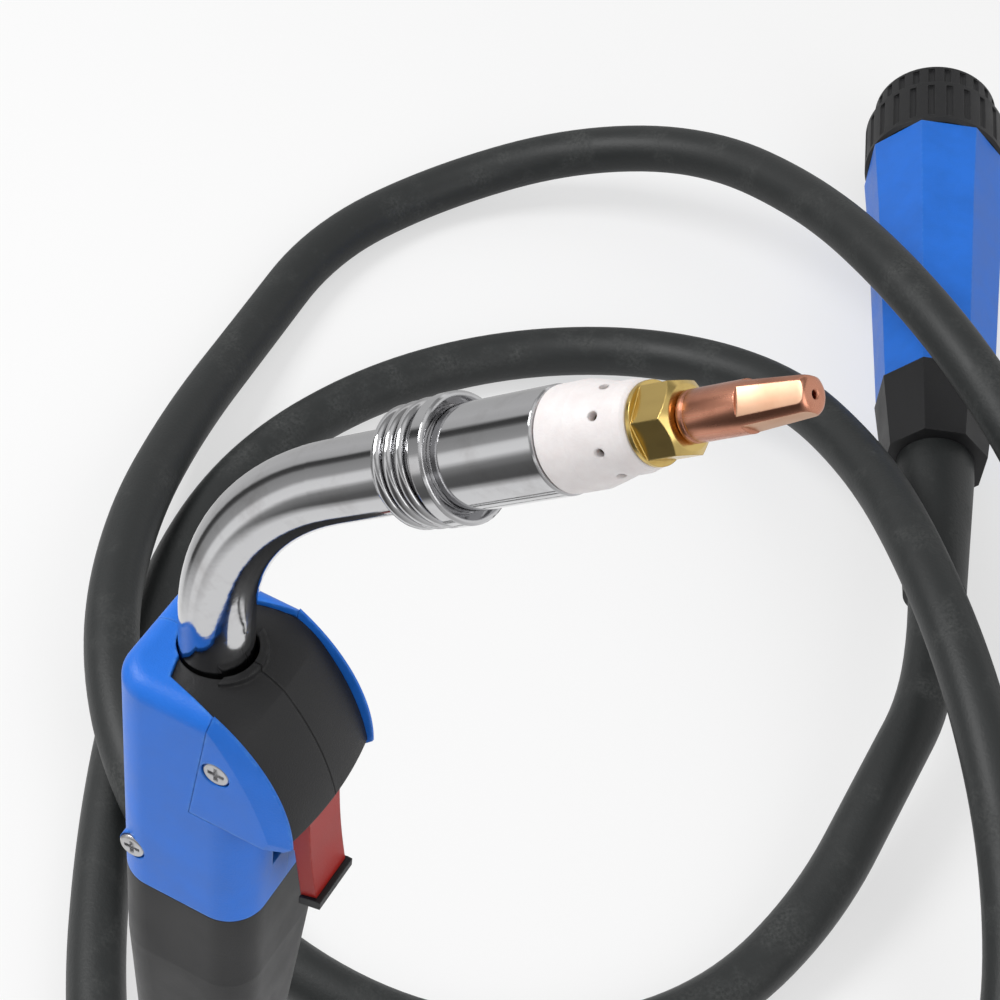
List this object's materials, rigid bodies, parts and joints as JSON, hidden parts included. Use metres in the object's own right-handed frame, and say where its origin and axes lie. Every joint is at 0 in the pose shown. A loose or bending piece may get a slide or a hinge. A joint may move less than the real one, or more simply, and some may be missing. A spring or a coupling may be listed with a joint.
{
  "type": "mig welding torch",
  "caption": "Air-cooled mig welding torch with bent neck, trigger handle, rubber cable and central plug.",
  "frame": {"origin": "on the handle's axis, 80 mm below the collar face where the neck comes out", "axes": "+Z along the handle towards the neck, +X towards the trigger, +Y to the left of a hand holding it"},
  "size_m": [0.4104, 0.616, 0.4209],
  "materials": {
    "chrome": "polished",
    "ceramic_white": "matte",
    "brass": "machined",
    "copper": "machined copper",
    "steel": "bright",
    "blue_plastic": "fine satin",
    "black_plastic": "fine satin",
    "red_plastic": "fine satin",
    "black_rubber": "matte",
    "insulation": "matte",
    "lead_plastic": "smooth"
  },
  "bodies": {
    "root": {"neck_tube": "chrome", "inner_conductor": "copper", "neck_bushes": "insulation", "wire_liner": "steel", "neck_socket": "brass", "front_tube": "chrome", "nozzle_spring": "chrome", "nozzle_stop_ring": "chrome", "gas_insulator": "insulation", "gas_diffuser": "ceramic_white", "tip_holder": "brass", "contact_tip": "copper", "handle_shell_left": "blue_plastic", "handle_shell_right": "blue_plastic", "side_plate_left": "blue_plastic", "side_plate_right": "blue_plastic", "front_cover_left": "black_plastic", "front_cover_right": "black_plastic", "side_screws": "steel", "shell_screw": "steel", "shell_nut": "steel", "lower_grip": "black_plastic", "power_block": "brass", "cable_ferrule": "copper", "cable_stub": "black_rubber", "crimp_sleeve": "brass", "bend_relief": "black_rubber", "trigger_pin": "steel", "microswitch": "black_plastic", "switch_leads": "lead_plastic", "cable": "black_rubber", "connector_body": "brass", "main_pin": "brass", "o_rings": "black_rubber", "contact_barrels": "brass", "gas_nipple": "brass", "connector_shell_top": "blue_plastic", "connector_shell_bottom": "blue_plastic", "connector_screws": "steel", "connector_collar": "black_plastic", "connector_relief": "black_rubber", "connector_stub": "black_rubber", "connector_ferrule": "brass"},
    "trigger": {"trigger": "red_plastic", "trigger_end_cap": "black_plastic"},
    "plunger": {"switch_plunger": "red_plastic"},
    "nut": {"union_nut": "black_plastic"},
    "control_pin_a": {"control_pin_left": "brass"},
    "control_pin_b": {"control_pin_right": "brass"}
  },
  "joints": [
    {"name": "trigger_hinge", "type": "hinge", "parent": "root", "child": "trigger", "pos_m": [0.013, 0, 0.045], "axis": [0, 1, 0], "range_deg": [0, 7], "stiffness_Nm_per_rad": 0.25, "springref_deg": -3.44},
    {"name": "plunger_slide", "type": "slide", "parent": "root", "child": "plunger", "axis": [-1, 0, 0], "range_m": [0, 0.0015]},
    {"name": "nut_turn", "type": "hinge", "parent": "root", "child": "nut", "pos_m": [-0.0204, 0.5656, -0.193], "axis": [0.3697, -0.9291, 0], "continuous": true},
    {"name": "control_pin_a_slide", "type": "slide", "parent": "root", "child": "control_pin_a", "axis": [0.3697, -0.9291, 0], "range_m": [0, 0.004], "stiffness_N_per_m": 300, "springref_m": -0.001},
    {"name": "control_pin_b_slide", "type": "slide", "parent": "root", "child": "control_pin_b", "axis": [0.3697, -0.9291, 0], "range_m": [0, 0.004], "stiffness_N_per_m": 300, "springref_m": -0.001}
  ],
  "couplings": [
    {"joint": "plunger_slide", "follows": "trigger_hinge", "m_per_rad": 0.012}
  ]
}
